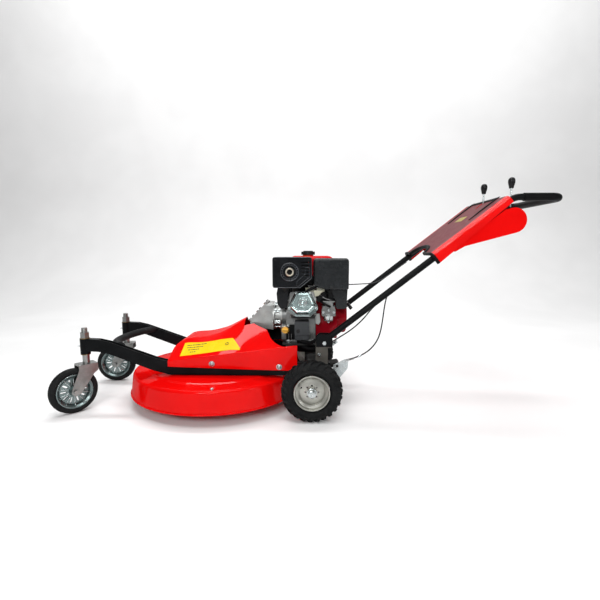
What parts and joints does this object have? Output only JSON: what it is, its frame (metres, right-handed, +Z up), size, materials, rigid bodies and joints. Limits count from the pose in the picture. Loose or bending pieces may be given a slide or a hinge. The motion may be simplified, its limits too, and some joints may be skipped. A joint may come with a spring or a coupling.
{
  "type": "brush mower",
  "caption": "Walk-behind rotary brush mower: round deck with swinging blades, top-mounted petrol engine, swivel front casters, driven rear wheels and a looped handlebar with control levers.",
  "frame": {"origin": "on the ground under the middle of the machine's box", "axes": "+X forward (towards the casters), +Y to the machine's left, +Z up"},
  "size_m": [2.2327, 0.824, 1.0208],
  "materials": {
    "black_paint": "satin powder coat",
    "dark_steel": "dark grey painted steel",
    "red_paint": "gloss",
    "dark_red_paint": "gloss",
    "zinc": "zinc plated",
    "steel": "machined",
    "cast_aluminium": "cast",
    "bronze": "sintered bronze",
    "black_plastic": "moulded",
    "grey_plastic": "moulded",
    "yellow_plastic": "moulded",
    "cream_plastic": "moulded",
    "black_rubber": "rubber",
    "grip_rubber": "smooth rubber",
    "tyre": "moulded rubber",
    "rim_grey": "silver painted steel"
  },
  "bodies": {
    "chassis": {"left_frame_arm": "black_paint", "right_frame_arm": "black_paint", "front_hoop": "black_paint", "kingpin_bushes": "bronze", "engine_bed": "dark_steel", "handle_mounts": "black_paint", "deck_pan": "red_paint", "bolts_and_studs": "zinc", "hood": "red_paint", "gear_case": "cast_aluminium", "gear_case_cover": "cast_aluminium", "crankcase": "cast_aluminium", "cylinder_head": "cast_aluminium", "valve_cover": "cast_aluminium", "muffler_guard": "black_paint", "muffler": "dark_steel", "air_cleaner": "black_plastic", "carburettor": "zinc", "fuel_tank": "red_paint", "fan_shroud": "dark_red_paint", "recoil_housing": "dark_red_paint", "spark_plug_cap": "black_rubber", "oil_alert_box": "grey_plastic", "spindle_housing": "dark_steel", "blade_belt": "black_rubber", "transaxle_case": "dark_steel", "handlebar": "black_paint", "grip_sleeve": "grip_rubber", "console_panel": "red_paint", "console_tray": "red_paint", "console_trim": "black_rubber", "lever_bracket": "dark_steel", "control_cables": "black_rubber"},
    "crank": {"crankshaft": "steel", "flywheel": "cast_aluminium"},
    "jack": {"jackshaft": "steel"},
    "rotor": {"blade_spindle": "steel", "blade_carrier": "dark_steel"},
    "front_blade": {"front_swing_blade": "steel"},
    "rear_blade": {"rear_swing_blade": "steel"},
    "left_caster": {"left_caster_fork": "zinc"},
    "right_caster": {"right_caster_fork": "zinc"},
    "left_caster_wheel": {"left_caster_tyre": "tyre", "left_caster_rim": "zinc"},
    "right_caster_wheel": {"right_caster_tyre": "tyre", "right_caster_rim": "zinc"},
    "left_rear_wheel": {"left_rear_tyre": "tyre", "left_rear_rim": "rim_grey"},
    "right_rear_wheel": {"right_rear_tyre": "tyre", "right_rear_rim": "rim_grey"},
    "fuel_cap": {"fuel_cap": "black_plastic"},
    "oil_cap": {"oil_cap": "yellow_plastic"},
    "recoil_handle": {"recoil_handle": "black_plastic"},
    "throttle_lever": {"throttle_lever": "cream_plastic"},
    "engine_switch": {"engine_switch": "black_plastic"},
    "blade_lever": {"blade_control_lever": "zinc", "blade_control_knob": "black_plastic"},
    "drive_lever": {"drive_control_lever": "zinc", "drive_control_knob": "black_plastic"},
    "clutch_plate": {"drive_clutch_plate": "zinc"}
  },
  "joints": [
    {"name": "rotor_spin", "type": "hinge", "parent": "chassis", "child": "rotor", "pos_m": [0.40462, 0, 0.09], "axis": [0, 0, 1], "continuous": true},
    {"name": "jackshaft_spin", "type": "hinge", "parent": "chassis", "child": "jack", "pos_m": [0.18061, 0, 0.3], "axis": [0, 0, 1], "continuous": true},
    {"name": "crankshaft_spin", "type": "hinge", "parent": "chassis", "child": "crank", "pos_m": [-0.01439, 0, 0.401], "axis": [1, 0, 0], "continuous": true},
    {"name": "front_blade_swing", "type": "hinge", "parent": "rotor", "child": "front_blade", "pos_m": [0.52961, 0, 0.083], "axis": [0, 0, 1], "range_deg": [-60, 60]},
    {"name": "rear_blade_swing", "type": "hinge", "parent": "rotor", "child": "rear_blade", "pos_m": [0.27962, 0, 0.083], "axis": [0, 0, 1], "range_deg": [-60, 60]},
    {"name": "left_caster_swivel", "type": "hinge", "parent": "chassis", "child": "left_caster", "pos_m": [0.95661, 0.204, 0.29], "axis": [0, 0, 1], "continuous": true},
    {"name": "right_caster_swivel", "type": "hinge", "parent": "chassis", "child": "right_caster", "pos_m": [0.95661, -0.204, 0.29], "axis": [0, 0, 1], "continuous": true},
    {"name": "left_caster_roll", "type": "hinge", "parent": "left_caster", "child": "left_caster_wheel", "pos_m": [0.99676, 0.24859, 0.1], "axis": [-0.7431, 0.6691, 0], "continuous": true},
    {"name": "right_caster_roll", "type": "hinge", "parent": "right_caster", "child": "right_caster_wheel", "pos_m": [1.01617, -0.19669, 0.1], "axis": [-0.1219, 0.9925, 0], "continuous": true},
    {"name": "left_wheel_roll", "type": "hinge", "parent": "chassis", "child": "left_rear_wheel", "pos_m": [-0.05439, 0.318, 0.13], "axis": [0, 1, 0], "continuous": true},
    {"name": "right_wheel_roll", "type": "hinge", "parent": "chassis", "child": "right_rear_wheel", "pos_m": [-0.05439, -0.318, 0.13], "axis": [0, 1, 0], "continuous": true},
    {"name": "fuel_cap_turn", "type": "hinge", "parent": "chassis", "child": "fuel_cap", "pos_m": [-0.03739, -0.05, 0.7], "axis": [0, 0, 1], "range_deg": [0, 90]},
    {"name": "oil_cap_turn", "type": "hinge", "parent": "chassis", "child": "oil_cap", "pos_m": [0.06761, 0.11897, 0.34849], "axis": [0, 0.9701, 0.2425], "continuous": true},
    {"name": "recoil_pull", "type": "slide", "parent": "chassis", "child": "recoil_handle", "axis": [-0.6, 0, 0.8], "range_m": [0, 0.35], "stiffness_N_per_m": 15},
    {"name": "throttle_lever_turn", "type": "hinge", "parent": "chassis", "child": "throttle_lever", "pos_m": [-0.07838, 0.158, 0.526], "axis": [0, 1, 0], "range_deg": [-12, 25]},
    {"name": "engine_switch_turn", "type": "hinge", "parent": "chassis", "child": "engine_switch", "pos_m": [0.00762, 0.153, 0.35], "axis": [0, 1, 0], "range_deg": [0, 60]},
    {"name": "blade_lever_tilt", "type": "hinge", "parent": "chassis", "child": "blade_lever", "pos_m": [-0.84996, 0, 0.8778], "axis": [0, 1, 0], "range_deg": [-18, 18]},
    {"name": "drive_lever_tilt", "type": "hinge", "parent": "chassis", "child": "drive_lever", "pos_m": [-0.88996, 0.175, 0.8778], "axis": [0, 1, 0], "range_deg": [-18, 18]},
    {"name": "clutch_plate_turn", "type": "hinge", "parent": "chassis", "child": "clutch_plate", "pos_m": [-0.17239, 0.134, 0.185], "axis": [0, 1, 0], "range_deg": [-10, 10]}
  ],
  "couplings": [
    {"joint": "crankshaft_spin", "follows": "rotor_spin", "ratio": -1.3463},
    {"joint": "jackshaft_spin", "follows": "rotor_spin", "ratio": 1.3463},
    {"joint": "clutch_plate_turn", "follows": "drive_lever_tilt", "ratio": 0.5}
  ]
}
